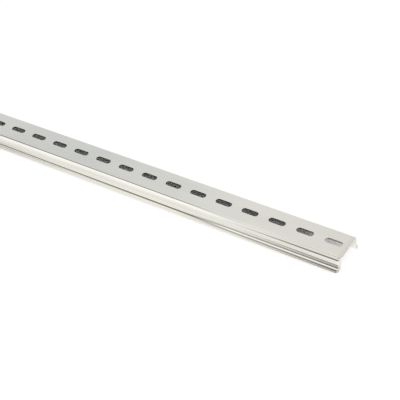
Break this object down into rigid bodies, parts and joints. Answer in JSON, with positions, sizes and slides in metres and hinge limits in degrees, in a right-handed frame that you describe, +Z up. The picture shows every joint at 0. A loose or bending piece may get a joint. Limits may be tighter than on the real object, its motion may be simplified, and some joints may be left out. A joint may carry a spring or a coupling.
{
  "type": "din rail",
  "caption": "Slotted top-hat mounting rail bent from steel strip, with a flat web, upright walls, outward flanges and a row of round-ended slots.",
  "frame": {"origin": "on the floor plane, under the middle of the rail", "axes": "+X along the rail, +Y across it, +Z up, from the flanges to the web"},
  "size_m": [1, 0.035, 0.015],
  "materials": {
    "zinc_steel": "bright zinc plating, clear passivated, lightly rolled and handled"
  },
  "bodies": {
    "root": {"rail": "zinc_steel"}
  },
  "joints": []
}
